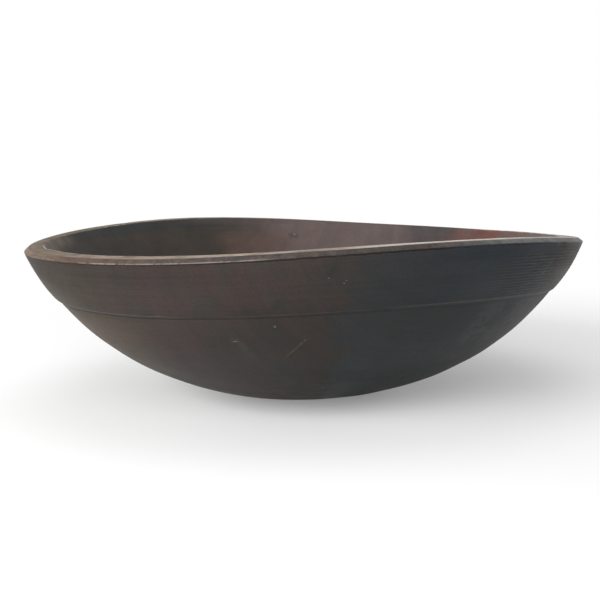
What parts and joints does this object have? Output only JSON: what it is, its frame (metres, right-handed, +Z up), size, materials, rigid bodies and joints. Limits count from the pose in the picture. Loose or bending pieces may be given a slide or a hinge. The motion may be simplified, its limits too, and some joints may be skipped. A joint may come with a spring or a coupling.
{
  "type": "turned wooden bowl",
  "caption": "Wide shallow wooden bowl turned from one block, with a flat bevelled rim, a plain collar over a small shoulder and a flat foot, a little oval and wavy from drying.",
  "frame": {"origin": "middle of the flat foot, on the surface that the bowl stands on", "axes": "+Z up, -Y towards the side that faces the viewer, +X to the viewer's right; the wood's grain runs 60 degrees clockwise from +X seen from above"},
  "size_m": [0.3908, 0.3972, 0.1203],
  "materials": {
    "bowl": "dark brown, nearly black, worn satin, with the rim rubbed to a greyish tan"
  },
  "bodies": {
    "root": {"bowl": "bowl"}
  },
  "joints": []
}
